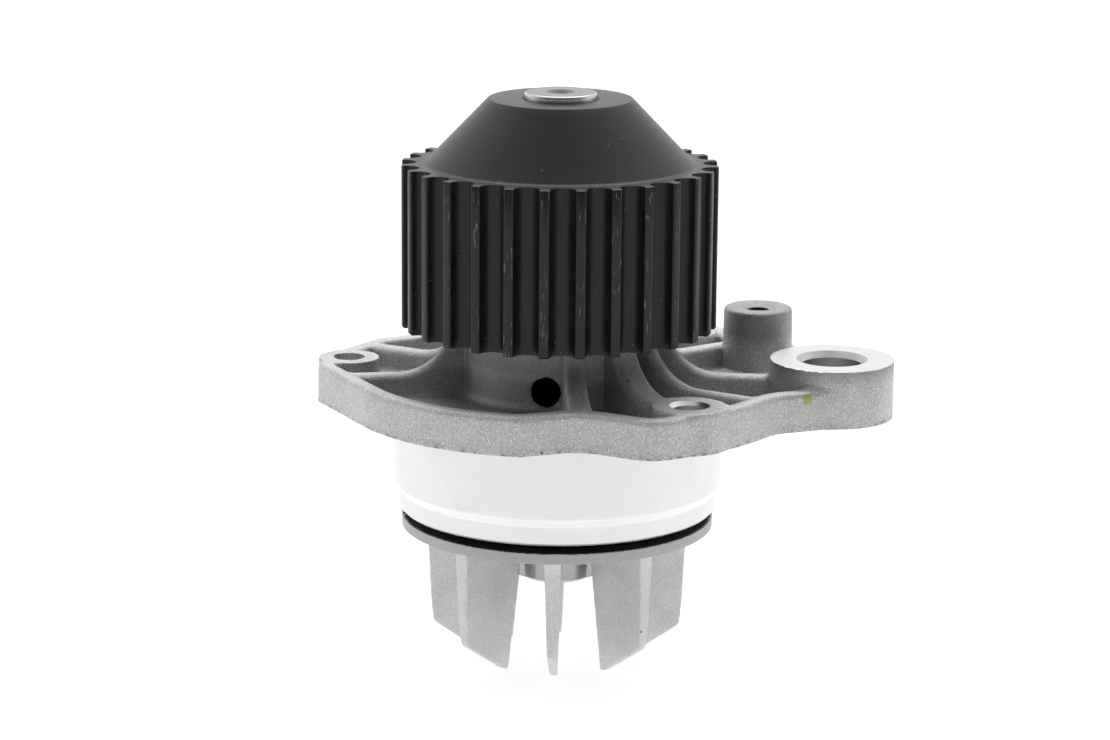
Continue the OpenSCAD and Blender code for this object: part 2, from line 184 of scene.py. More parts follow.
class Material:
    """Principled material with short calls for the nodes that its detail is made of."""

    def __init__(self, name):
        self.data = bpy.data.materials.new(name)
        self.data.use_nodes = True
        self.tree = self.data.node_tree
        self.shader = self.tree.nodes["Principled BSDF"]

    def set(self, socket, value):
        self.shader.inputs[socket].default_value = value

    def drive(self, socket, source):
        self.tree.links.new(source, self.shader.inputs[socket])

    def node(self, kind, inputs=(), **settings):
        made = self.tree.nodes.new(kind)
        for key, value in settings.items():
            setattr(made, key, value)
        for key, value in dict(inputs).items():
            if isinstance(value, bpy.types.NodeSocket):
                self.tree.links.new(value, made.inputs[key])
            else:
                made.inputs[key].default_value = value
        return made

    def position(self, stretch=(1, 1, 1), centre=(0, 0)):
        """Place on the piece in mm from a centre in plan, stretched along the axes."""
        coordinates = self.node("ShaderNodeTexCoord").outputs["Object"]
        shift = (-centre[0] * MM, -centre[1] * MM, 0)
        moved = self.node("ShaderNodeVectorMath", {0: coordinates, 1: shift}, operation="ADD")
        scale = [factor / MM for factor in stretch]
        inputs = {0: moved.outputs[0], 1: scale}
        return self.node("ShaderNodeVectorMath", inputs, operation="MULTIPLY").outputs[0]

    def noise(self, grain, detail=2, rough=0.5, **where):
        """Noise whose blotches are about grain mm across."""
        inputs = {"Vector": self.position(**where), "Scale": 1 / grain, "Detail": detail,
                  "Roughness": rough}
        return self.node("ShaderNodeTexNoise", inputs).outputs["Fac"]

    def cells(self, grain, **where):
        """Distance from the middle of random cells about grain mm apart."""
        inputs = {"Vector": self.position(**where), "Scale": 1 / grain}
        return self.node("ShaderNodeTexVoronoi", inputs).outputs["Distance"]

    def ramp(self, source, start, end, low=0.0, high=1.0):
        """Source from start to end mapped to low to high, and held outside."""
        inputs = {"Value": source, "From Min": start, "From Max": end, "To Min": low, "To Max": high}
        return self.node("ShaderNodeMapRange", inputs).outputs["Result"]

    def mix(self, factor, first, second):
        made = self.node("ShaderNodeMix", {0: factor, 6: first, 7: second}, data_type="RGBA")
        return made.outputs[2]

    def math(self, operation, *values):
        return self.node("ShaderNodeMath", dict(enumerate(values)), operation=operation).outputs[0]

    def reach_from_axis(self):
        """Distance from the shaft axis in mm."""
        flat = self.position(stretch=(1, 1, 0))
        return self.node("ShaderNodeVectorMath", {0: flat}, operation="LENGTH").outputs["Value"]

    def convex_edges(self, width):
        """1 on convex edges within width mm, 0 on open faces."""
        bevel = self.node("ShaderNodeBevel", {"Radius": width * MM}, samples=4).outputs["Normal"]
        normal = self.node("ShaderNodeNewGeometry").outputs["Normal"]
        agreement = self.node("ShaderNodeVectorMath", {0: bevel, 1: normal}, operation="DOT_PRODUCT")
        return self.ramp(agreement.outputs["Value"], 0.995, 0.9)

    def bump(self, *layers):
        """Bump from (height source, depth in mm) layers, coarse first."""
        normal = None
        for source, depth in layers:
            inputs = {"Height": source, "Distance": depth * MM, "Strength": 1.0}
            if normal is not None:
                inputs["Normal"] = normal
            normal = self.node("ShaderNodeBump", inputs).outputs["Normal"]
        self.drive("Normal", normal)


PAINT_COLOUR = (0.42, 0.41, 0.10, 1)
PAINT_DOT_RADIUS = 1.5


def grey(value, warmth=0.0):
    """Linear grey, warmer for a positive warmth."""
    return (value * (1 + warmth), value, value * (1 - warmth), 1)


def blasted_casting(name, light, dark, warmth, grain, metallic, rough, sparkling=1.0,
                    pulley_shade=None, flash=None, paint_dot=None):
    """Bead-blasted cast metal: sparkling grain, soft blotches and a few pits.

    Painted shade, where the pulley shades the hub, darkens it from the second radius in to the first
    and from the first height up to the second. Flash is a band of heights with torn dark specks,
    full at the first and gone at the second. A paint dot is the place of its centre. All are in mm.
    """
    m = Material(name)
    m.set("Metallic", metallic)
    m.set("Specular IOR Level", 0.5)
    blotches = m.noise(7, detail=4)
    grit = m.noise(grain, detail=3, rough=0.7)
    sparkle = m.ramp(m.noise(grain * 0.65, detail=1), 0.57, 0.68, 0.0, 0.95 * sparkling)
    pits = m.ramp(m.cells(8.5), 0.03, 0.05, 1.0, 0.0)
    base = m.mix(m.ramp(blotches, 0.3, 0.7), grey(dark, warmth), grey(light, warmth))
    base = m.mix(m.ramp(grit, 0.4, 0.65, 0.0, 0.5 * sparkling), base, grey(dark * 0.55, warmth))
    base = m.mix(sparkle, base, grey(min(light * 1.4, 0.98), warmth * 0.5))
    base = m.mix(pits, base, grey(dark * 0.35, warmth))
    level = m.node("ShaderNodeSeparateXYZ", {0: m.position()}).outputs["Z"]
    # Painted shade under the pulley: darker round the hub and towards its top
    if pulley_shade is not None:
        inner, outer, lower, upper = pulley_shade
        raised = m.ramp(level, lower, upper, 0.0, 0.55)
        near_hub = m.ramp(m.reach_from_axis(), inner, outer, 0.32, 0.0)
        base = m.mix(m.math("MAXIMUM", raised, near_hub), base, grey(dark * 0.35, warmth))
    if flash is not None:
        torn = m.ramp(m.noise(1.3, detail=4), 0.5, 0.62, 0.0, 0.65)
        low_down = m.ramp(level, flash[0], flash[1], 1.0, 0.0)
        base = m.mix(m.math("MULTIPLY", low_down, torn), base, grey(dark * 0.25, warmth))
    if paint_dot is not None:
        centre = [value * MM for value in paint_dot]
        place_on_piece = m.node("ShaderNodeTexCoord").outputs["Object"]
        away = m.node("ShaderNodeVectorMath", {0: place_on_piece, 1: centre}, operation="DISTANCE")
        edge = m.math("MULTIPLY", m.noise(0.9, detail=4), PAINT_DOT_RADIUS * 1.6 * MM)
        ragged = m.math("ADD", away.outputs["Value"], edge)
        dot = m.ramp(ragged, PAINT_DOT_RADIUS * 1.5 * MM, PAINT_DOT_RADIUS * 1.8 * MM, 0.8, 0.0)
        base = m.mix(dot, base, PAINT_COLOUR)
    m.drive("Base Color", base)
    m.drive("Roughness", m.ramp(grit, 0.3, 0.7, rough[0], rough[1]))
    m.bump((blotches, 0.10), (grit, 0.16 * sparkling), (m.math("SUBTRACT", 1.0, pits), 0.15))
    return m.data


def turned_metal(name, value, rough, stretch, streak, centre=(0, 0)):
    """Machined metal with fine tool lines along the cut."""
    m = Material(name)
    m.set("Metallic", 1.0)
    lines = m.noise(streak, detail=3, rough=0.65, stretch=stretch, centre=centre)
    stains = m.noise(9, detail=3)
    marks = m.ramp(m.noise(0.6, detail=1, stretch=(1, 1, 3)), 0.76, 0.80, 0.0, 0.5)
    base = m.mix(m.ramp(lines, 0.3, 0.7), grey(value * 0.92), grey(value))
    base = m.mix(m.ramp(stains, 0.45, 0.8, 0.0, 0.2), base, grey(value * 0.75))
    base = m.mix(marks, base, grey(value * 0.6))
    m.drive("Base Color", base)
    m.drive("Roughness", m.ramp(lines, 0.25, 0.75, rough * 0.85, rough * 1.2))
    m.bump((lines, 0.012))
    return m.data


def faced_metal(name, value, rough, centre):
    """Faced metal: tool lines in rings about a centre in plan."""
    m = Material(name)
    m.set("Metallic", 1.0)
    flat = m.position(stretch=(1, 1, 0), centre=centre)
    away = m.node("ShaderNodeVectorMath", {0: flat}, operation="LENGTH").outputs["Value"]
    rings = m.node("ShaderNodeTexNoise", {"Scale": 3.0, "Detail": 3, "W": away},
                   noise_dimensions="1D").outputs["Fac"]
    stains = m.noise(3, detail=3)
    base = m.mix(m.ramp(rings, 0.3, 0.7), grey(value * 0.9), grey(value))
    base = m.mix(m.ramp(stains, 0.45, 0.8, 0.0, 0.25), base, grey(value * 0.7))
    m.drive("Base Color", base)
    m.drive("Roughness", m.ramp(rings, 0.25, 0.75, rough * 0.85, rough * 1.2))
    m.bump((rings, 0.012))
    return m.data


def black_oxide(name):
    """Satin black-oxide steel with lighter convex edges, scuffs and dust."""
    m = Material(name)
    m.set("Metallic", 0.0)
    m.set("Specular IOR Level", 0.35)
    tone = m.noise(9, detail=3)
    fibre = m.noise(0.5, detail=3, stretch=(1, 1, 0.06))
    scuff_area = m.ramp(m.noise(5, detail=2, stretch=(1, 1, 0.45)), 0.50, 0.68)
    scuff_line = m.ramp(m.noise(0.38, detail=2, stretch=(1, 1, 0.12)), 0.58, 0.67)
    tip = reach("toothed_pulley")
    outside = m.ramp(m.reach_from_axis(), tip - 0.35, tip - 0.15)
    dust = m.ramp(m.cells(2.4), 0.035, 0.06, 1.0, 0.0)
    patchy = m.ramp(m.noise(1.1, detail=3), 0.35, 0.7, 0.15, 0.8)
    # Convex edges painted lighter, in patches
    edges = m.math("MULTIPLY", m.convex_edges(0.22), patchy)
    base = m.mix(m.ramp(tone, 0.3, 0.7), (0.0070, 0.0085, 0.0085, 1), (0.0105, 0.0125, 0.0125, 1))
    base = m.mix(m.ramp(fibre, 0.4, 0.75, 0.0, 0.4), base, (0.018, 0.021, 0.021, 1))
    scuffs = m.math("MULTIPLY", m.math("MULTIPLY", scuff_area, scuff_line), outside)
    base = m.mix(scuffs, base, grey(0.22))
    base = m.mix(dust, base, grey(0.30))
    base = m.mix(edges, base, grey(0.16))
    m.drive("Base Color", base)
    m.drive("Roughness", m.ramp(fibre, 0.3, 0.7, 0.30, 0.42))
    m.bump((tone, 0.02), (fibre, 0.006))
    return m.data


def plain_part(name, colour, grain, metallic=0.0, rough=0.5, depth=0.02, variation=0.25):
    """Inner part: its colour with blotches and a fine grain."""
    m = Material(name)
    m.set("Metallic", metallic)
    blotches = m.noise(4, detail=3)
    fine = m.noise(grain, detail=3, rough=0.6)
    dark = tuple(channel * (1 - variation) for channel in colour) + (1,)
    base = m.mix(m.ramp(blotches, 0.3, 0.7), dark, tuple(colour) + (1,))
    base = m.mix(m.ramp(fine, 0.45, 0.8, 0.0, 0.3), base, dark)
    m.drive("Base Color", base)
    m.drive("Roughness", m.ramp(fine, 0.3, 0.7, rough * 0.85, min(rough * 1.2, 1.0)))
    m.bump((blotches, depth), (fine, depth * 0.6))
    return m.data


# ---- Meshes ----

WELD = 1e-7


def weld(mesh):
    """Joins points that share a place and turns every face outwards."""
    work = bmesh.new()
    work.from_mesh(mesh)
    bmesh.ops.remove_doubles(work, verts=work.verts, dist=WELD)
    bmesh.ops.recalc_face_normals(work, faces=work.faces)
    if work.calc_volume(signed=True) < 0:
        bmesh.ops.reverse_faces(work, faces=work.faces)
    work.to_mesh(mesh)
    work.free()


def new_piece(name, vertices, faces, body, replaced, materials, face_material=None, crease=32):
    """Mesh in metres from mm vertices, riding on a body in place of a CAD node."""
    mesh = bpy.data.meshes.new(name)
    mesh.from_pydata((np.asarray(vertices) * MM).tolist(), [], faces)
    for material in materials:
        mesh.materials.append(material)
    if face_material is not None:
        mesh.polygons.foreach_set("material_index", face_material)
    weld(mesh)
    mesh.shade_smooth()
    mesh.set_sharp_from_angle(angle=math.radians(crease))
    piece = bpy.data.objects.new(name, mesh)
    bpy.context.scene.collection.objects.link(piece)
    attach(piece, body)
    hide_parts(replaced)
    return piece


def lathe(profile, steps, closed=True):
    """Vertices and faces of a profile of (radius, height) points turned about the shaft axis."""
    turns = [2 * math.pi * i / steps for i in range(steps)]
    vertices = [(r * math.cos(a), r * math.sin(a), z) for a in turns for r, z in profile]
    count = len(profile)
    spans = count if closed else count - 1
    faces = []
    for i in range(steps):
        for j in range(spans):
            k = (j + 1) % count
            after = (i + 1) % steps
            faces.append((i * count + j, after * count + j, after * count + k, i * count + k))
    return vertices, faces


def arc(centre, r, start, end, steps):
    """Points of an arc about a centre, angles in degrees."""
    angles = np.radians(np.linspace(start, end, steps + 1))
    return [(centre[0] + r * math.cos(a), centre[1] + r * math.sin(a)) for a in angles]


def surface_points(distance, points, span, axis):
    """Moves each point along an axis, within its grid edge, onto the surface."""
    low, high = points.copy(), points.copy()
    high[:, axis] += span
    low_inside = distance(*low.T) < 0
    for _ in range(7):
        middle = (low + high) / 2
        same = (distance(*middle.T) < 0) == low_inside
        low[same] = middle[same]
        high[~same] = middle[~same]
    return (low + high) / 2


def gradient(distance, points, step=0.01):
    """Unit normals of the distance function at points."""
    normals = np.empty_like(points)
    for axis in range(3):
        shift = np.zeros(3)
        shift[axis] = step
        normals[:, axis] = distance(*(points + shift).T) - distance(*(points - shift).T)
    return normals / np.maximum(np.linalg.norm(normals, axis=1, keepdims=True), 1e-9)


def polygonise(distance, low, high, step):
    """Dual contouring: vertices and quads of the surface where distance(x, y, z) is zero."""
    axes = [np.arange(low[i] - 1.37 * step, high[i] + 2 * step, step) for i in range(3)]
    inside = distance(*np.meshgrid(*axes, indexing="ij", sparse=True)) < 0
    shape = np.array(inside.shape)
    strides = np.array([shape[1] * shape[2], shape[2], 1])
    all_cells, all_points, all_normals, all_flips = [], [], [], []
    for axis in range(3):
        first = [slice(None)] * 3
        second = [slice(None)] * 3
        first[axis], second[axis] = slice(0, -1), slice(1, None)
        start_inside, end_inside = inside[tuple(first)], inside[tuple(second)]
        index = np.stack(np.nonzero(start_inside != end_inside), axis=1)
        flips = start_inside[tuple(index.T)]
        points = np.stack([axes[i][index[:, i]] for i in range(3)], axis=1)
        points = surface_points(distance, points, step, axis)
        u, v = (axis + 1) % 3, (axis + 2) % 3
        corner = index @ strides
        cells = np.stack([corner, corner - strides[u], corner - strides[u] - strides[v],
                          corner - strides[v]], axis=1)
        all_cells.append(cells)
        all_points.append(points)
        all_normals.append(gradient(distance, points))
        all_flips.append(flips)
    cells, flips = np.concatenate(all_cells), np.concatenate(all_flips)
    points, normals = np.concatenate(all_points), np.concatenate(all_normals)
    used, faces = np.unique(cells.ravel(), return_inverse=True)
    faces = faces.reshape(-1, 4)
    vertices = best_points(faces, len(used), points, normals)
    corner = np.stack(np.unravel_index(used, shape), axis=1)
    cell_low = np.stack([axes[i][corner[:, i]] for i in range(3)], axis=1)
    vertices = np.clip(vertices, cell_low, cell_low + step)
    faces[~flips] = faces[~flips][:, ::-1]
    return vertices, faces


def best_points(faces, count, points, normals, pull=0.03):
    """Point of each cell that lies nearest to the planes through its edge crossings."""
    cell = faces.ravel()

    def gather(values):
        return np.bincount(cell, weights=np.repeat(values, 4), minlength=count)

    number = gather(np.ones(len(points)))
    middle = np.stack([gather(points[:, i]) for i in range(3)], axis=1) / number[:, None]
    offset = np.einsum("ij,ij->i", normals, points)
    matrix = np.empty((count, 3, 3))
    right = np.empty((count, 3))
    for i in range(3):
        right[:, i] = gather(normals[:, i] * offset)
        for j in range(3):
            matrix[:, i, j] = gather(normals[:, i] * normals[:, j])
    right -= np.einsum("nij,nj->ni", matrix, middle)
    matrix += np.eye(3) * pull
    return middle + np.linalg.solve(matrix, right[:, :, None])[:, :, 0]


# ---- Distance functions ----


def round_join(a, b, r):
    """Union of two shapes with a fillet of radius r between them."""
    inner = np.hypot(np.maximum(r - a, 0), np.maximum(r - b, 0))
    return np.maximum(r, np.minimum(a, b)) - inner


def round_cut(a, b, r):
    """Intersection of two shapes with its edges rounded to radius r."""
    outer = np.hypot(np.maximum(r + a, 0), np.maximum(r + b, 0))
    return np.minimum(-r, np.maximum(a, b)) + outer


def boss(x, y, z, centre, r, top, edge, draft=0.0):
    """Upright round boss with a rounded top edge that widens downwards by its draft."""
    side = np.hypot(x - centre[0], y - centre[1]) - r - draft * (top - z)
    return round_cut(side, z - top, edge)


def hole(x, y, z, centre, r, bottom=-99.0):
    """Upright hole from a height upwards."""
    return np.maximum(np.hypot(x - centre[0], y - centre[1]) - r, bottom - z)


MOUTH_RISE = 1


def mouth(x, y, z, centre, r, top, depth):
    """Cone that widens from the first radius to the second over its depth below the top face.

    It ends a little above that face, so that it cuts nothing higher up.
    """
    slope = (r[1] - r[0]) / depth
    side = np.hypot(x - centre[0], y - centre[1]) - r[1] - slope * (z - top)
    return np.maximum(side / math.hypot(1, slope), z - top - MOUTH_RISE)


# Flange outline in plan: corners with the radius that rounds each one
RIM_RADIUS = 46.7
LOBE_RADIUS = 51.7


def polar_corner(r, start, end):
    """Corner whose rounding follows a circle about the axis between two azimuths in degrees."""
    far = r / math.cos(math.radians(end - start) / 2)
    middle = math.radians(start + end) / 2
    return far * math.cos(middle), far * math.sin(middle), r


OUTLINE = [
    (-53.9, 2.6, 4), polar_corner(RIM_RADIUS, -153, -105), (-8.2, -45.3, 3), (4.7, -40.4, 10),
    (19.6, -48.6, 8), polar_corner(LOBE_RADIUS, -62, -33), (47, -24.1, 10), (66, -16.4, 1), (72, 0.3, 1),
    (49.8, 32.4, 8), (42.2, 33.2, 4), (38.4, 49.6, 9.5), (17.5, 44.6, 8),
    polar_corner(RIM_RADIUS, 80, 120), (-42.3, 29.1, 5), (-52.4, 13.2, 4),
]


def rounded(corners, turn_step=4):
    """Points of a closed outline whose corners are rounded to their own radii."""
    points = []
    for i, (cx, cy, r) in enumerate(corners):
        corner = np.array((cx, cy))
        before = np.array(corners[i - 1][:2]) - corner
        after = np.array(corners[(i + 1) % len(corners)][:2]) - corner
        before, after = before / np.linalg.norm(before), after / np.linalg.norm(after)
        half = math.acos(np.clip(before @ after, -1, 1)) / 2
        middle = before + after
        centre = corner + middle / np.linalg.norm(middle) * r / math.sin(half)
        start = corner + before * r / math.tan(half) - centre
        side = 1 if before[0] * after[1] - before[1] * after[0] > 0 else -1
        sweep = -side * (math.pi - 2 * half)
        steps = max(2, math.ceil(math.degrees(abs(sweep)) / turn_step))
        for step in range(steps + 1):
            t = sweep * step / steps
            points.append((centre[0] + start[0] * math.cos(t) - start[1] * math.sin(t),
                           centre[1] + start[0] * math.sin(t) + start[1] * math.cos(t)))
    return points


OUTLINE_POINTS = rounded(OUTLINE)


def outline_distance(x, y):
    """Distance in plan from the flange's outline, negative inside it."""
    nearest = np.full(np.broadcast(x, y).shape, 1e9)
    inside = np.zeros(nearest.shape, bool)
    for (ax, ay), (bx, by) in zip(OUTLINE_POINTS, OUTLINE_POINTS[1:] + OUTLINE_POINTS[:1]):
        ex, ey = bx - ax, by - ay
        length = ex * ex + ey * ey
        if length < 1e-9:
            continue
        px, py = x - ax, y - ay
        along = np.clip((px * ex + py * ey) / length, 0, 1)
        nearest = np.minimum(nearest, (px - ex * along) ** 2 + (py - ey * along) ** 2)
        if ey != 0:
            inside ^= ((y >= ay) != (y >= by)) & (px < (py / ey) * ex)
    return np.where(inside, -1, 1) * np.sqrt(nearest)


# Casting
RIM_TOP = 8.6
FLOOR_TOP = 3.6
RIM_WIDTH = 3.8
RIM_EDGE = 1.3
POCKET_FILLET = 1.4
FLASH_TOP = 1.1
FLASH_PROUD = 0.1
HUB_RADIUS = 21
HUB_FILLET = 2
NOSE_RADIUS, NOSE_EDGE = 19.8, 0.8
TAPER = (18, 20)
RIBS = [(188, 4.4), (-82, 5), (-53, 7), (-31.5, 4.2), (-5, 4.4), (36, 4.4), (53.5, 5), (92, 4.4),
        (151, 4.4)]
RIB_START = 15
RIB_EDGE = 1.7
RIB_FILLET = 0.6
GUSSET_RADIUS = 36
GUSSET_ARC = 12
GUSSET_FOOT = RIM_TOP - 0.1
EAR_BOSS, EAR_BOSS_TOP, EAR_EDGE, EAR_FILLET = 6.8, RIM_TOP + 0.2, 0.4, 0.6
BOLT_BOSS, BOLT_BOSS_TOP, BOLT_EDGE, BOLT_FILLET = 8.2, RIM_TOP + 0.3, 0.5, 0.9
FRONT_MOUTH, FRONT_SINK = 4.3, 0.8
SIDE_BOSS, SIDE_BOSS_TOP, SIDE_BOSS_EDGE, SIDE_BOSS_FILLET = 13.65, 12.7, 0.25, 1.3
SIDE_BOSS_MOUTH, SIDE_BOSS_SINK = 7.9, 1.3
STANDOFF, STANDOFF_TOP, STANDOFF_EDGE, STANDOFF_FILLET = 7.75, 17.7, 0.9, 0.8
STANDOFF_DRAFT, STANDOFF_MOUTH, STANDOFF_SINK, THREAD_BOTTOM = 0.02, 4.2, 0.7, 2.5
SPIGOT_OVERLAP = 1
SPIGOT_PROFILE = [(-22.4, 34.9), (-21.9, 35.4), (-18.2, 35.5), (-16.3, 36.5)]
CAVITY_RADIUS, SEAL_FACE = 31, -9
SEAL_SEAT_RADIUS, SEAL_SEAT_TOP = 18.22, 2
SHOULDER_RADIUS, BEARING_SEAT = 13, 12.6
WEEP_RADIUS, WEEP_X, WEEP_Z = 3.2, -2.7, RIM_TOP - 0.5
WEEP_REACH, WEEP_EDGE = 25, 0.5


def rib_distance(x, y, z):
    """All gusset ribs: upright slabs under a concave arc that runs from the nose to the rim."""
    nearest = 1e9
    for azimuth, thickness in RIBS:
        cos, sin = math.cos(math.radians(azimuth)), math.sin(math.radians(azimuth))
        along = x * cos + y * sin
        across = np.abs(y * cos - x * sin) - thickness / 2 - 0.03 * (GUSSET_FOOT - np.minimum(z, 14))
        arc_side = GUSSET_ARC - np.hypot(along - GUSSET_RADIUS, z - GUSSET_FOOT - GUSSET_ARC)
        under = np.where(along < GUSSET_RADIUS, arc_side, z - GUSSET_FOOT)
        under = np.maximum(under, z - GUSSET_FOOT - GUSSET_ARC)
        rib = np.maximum(round_cut(under, across, min(RIB_EDGE, thickness / 2 - 0.2)), RIB_START - along)
        nearest = np.minimum(nearest, rib)
    return nearest


def flange_distance(x, y, z, plan):
    """Rim, pocket floor and the line of flash along the lower edge."""
    flash = FLASH_PROUD * np.clip((FLASH_TOP - z) / 0.25, 0, 1)
    rim = round_cut(round_cut(plan - flash, z - RIM_TOP, RIM_EDGE), -(plan + RIM_WIDTH), RIM_EDGE)
    rim_lower = np.maximum(plan - flash, z - RIM_TOP / 2)
    floor = np.maximum(plan + RIM_WIDTH / 2, z - FLOOR_TOP)
    return np.minimum(round_join(rim, floor, POCKET_FILLET), np.maximum(rim_lower, -(plan + RIM_WIDTH)))


def housing_distance(x, y, z):
    """The whole casting with its machined seats and holes."""
    plan = outline_distance(x, y) + FLASH_PROUD
    away = np.hypot(x, y)
    body = flange_distance(x, y, z, plan)
    hub = away - np.interp(z, TAPER, (HUB_RADIUS, NOSE_RADIUS))
    body = round_join(body, round_cut(hub, z - height("housing", UP), NOSE_EDGE), HUB_FILLET)
    ribs = np.maximum(rib_distance(x, y, z), plan + RIM_WIDTH / 2)
    body = round_join(body, ribs, RIB_FILLET)
    ear_boss = boss(x, y, z, place("ear_bolt_hole"), EAR_BOSS, EAR_BOSS_TOP, EAR_EDGE)
    body = round_join(body, ear_boss, EAR_FILLET)
    for name in ("front_bolt_hole", "rear_bolt_hole"):
        bolt_boss = boss(x, y, z, place(name), BOLT_BOSS, BOLT_BOSS_TOP, BOLT_EDGE)
        body = round_join(body, bolt_boss, BOLT_FILLET)
    thread = place("standoff_thread")
    standoff = boss(x, y, z, thread, STANDOFF, STANDOFF_TOP, STANDOFF_EDGE, STANDOFF_DRAFT)
    body = round_join(body, standoff, STANDOFF_FILLET)
    side_boss = boss(x, y, z, place("side_boss_hole"), SIDE_BOSS, SIDE_BOSS_TOP, SIDE_BOSS_EDGE)
    body = round_join(body, side_boss, SIDE_BOSS_FILLET)
    body = np.maximum(body, -z)
    spigot = away - np.interp(z, *zip(*SPIGOT_PROFILE))
    spigot = np.maximum(np.maximum(spigot, height("housing", DOWN) - z), z - SPIGOT_OVERLAP)
    body = np.minimum(body, spigot)
    bearing_bore = hole(x, y, z, (0, 0), reach("bearing_outer_ring"), BEARING_SEAT)
    bores = np.minimum(bearing_bore, away - SHOULDER_RADIUS)
    bores = np.minimum(bores, np.maximum(away - SEAL_SEAT_RADIUS, z - SEAL_SEAT_TOP))
    bores = np.minimum(bores, np.maximum(away - CAVITY_RADIUS, z - SEAL_FACE))
    for name in ("ear_bolt_hole", "front_bolt_hole", "rear_bolt_hole", "side_boss_hole"):
        bores = np.minimum(bores, hole(x, y, z, place(name), radius(name)))
    for name, wide, top, sink in (("front_bolt_hole", FRONT_MOUTH, BOLT_BOSS_TOP, FRONT_SINK),
                                  ("side_boss_hole", SIDE_BOSS_MOUTH, SIDE_BOSS_TOP, SIDE_BOSS_SINK)):
        bores = np.minimum(bores, mouth(x, y, z, place(name), (radius(name), wide), top, sink))
    narrow = radius("standoff_thread")
    bores = np.minimum(bores, hole(x, y, z, thread, narrow, THREAD_BOTTOM))
    sink = mouth(x, y, z, thread, (narrow, STANDOFF_MOUTH), STANDOFF_TOP, STANDOFF_SINK)
    bores = np.minimum(bores, np.maximum(sink, THREAD_BOTTOM - z))
    body = np.maximum(body, -bores)
    weep = np.hypot(x - WEEP_X, z - WEEP_Z) - WEEP_RADIUS
    weep = np.maximum(weep, np.maximum(y, -WEEP_REACH - y))
    return round_cut(body, -weep, WEEP_EDGE)


# Impeller
DISC_TOP, DISC_BOTTOM = -24.3, -26.7
DISC_TOP_EDGE, DISC_BOTTOM_EDGE, DISC_RIM = 0.25, 0.35, 0.4
VANES = 8
FIRST_VANE = -91.8
VANE_ROOT, VANE_END = 3.9, 1.6
VANE_EDGE = 0.45
VANE_PROFILE = [(11.5, -20.0), (15.2, -58.0), (16.4, -58.0), (27.9, -50.2), (28.2, -48.2), (29.4, -20.0)]
VANE_CORNER = 0.7
VANE_FILLET = 0.9


def profile_distance(r, z, points, corner):
    """Distance from a convex outline in the plane of radius and height, with rounded corners."""
    nearest = None
    for (ar, az), (br, bz) in zip(points, points[1:] + points[:1]):
        length = math.hypot(br - ar, bz - az)
        side = -((r - ar) * (az - bz) + (z - az) * (br - ar)) / length
        nearest = side if nearest is None else round_cut(nearest, side, corner)
    return nearest


def impeller_distance(x, y, z):
    """Disc with straight radial vanes that get thinner downwards."""
    away = np.hypot(x, y)
    disc = round_cut(away - reach("impeller"), z - DISC_TOP, DISC_TOP_EDGE)
    disc = round_cut(disc, DISC_BOTTOM - z, DISC_BOTTOM_EDGE)
    envelope = np.maximum(profile_distance(away, z, VANE_PROFILE, VANE_CORNER), z - DISC_TOP + 0.5)
    share = (DISC_BOTTOM - z) / (DISC_BOTTOM - height("impeller", DOWN))
    half = (VANE_ROOT + (VANE_END - VANE_ROOT) * share) / 2
    vanes = 1e9
    for i in range(VANES):
        azimuth = math.radians(FIRST_VANE + i * 360 / VANES)
        along = x * math.cos(azimuth) + y * math.sin(azimuth)
        across = np.abs(y * math.cos(azimuth) - x * math.sin(azimuth)) - half
        vanes = np.minimum(vanes, np.maximum(round_cut(envelope, across, VANE_EDGE), -along))
    body = round_join(disc, vanes, VANE_FILLET)
    return np.maximum(body, reach("impeller_bush") - away)


# ---- Pieces ----

VOXEL = 0.6
IMPELLER_VOXEL = 0.42
TURNED_STEPS = 192

# How close the centre of a face lies to the plane or the wall that it is part of
ON_PLANE, ON_WALL = 0.05, 0.1

# Materials of the casting, in the order that make_housing takes them
CAST, TURNED, FACED_SIDE, FACED_FRONT, FACED_BELOW, PAINTED_SHADE, LEAD_IN_HIGHLIGHT, THREADED, BORED = range(9)


def face_centres(vertices, faces):
    return vertices[faces].mean(axis=1)


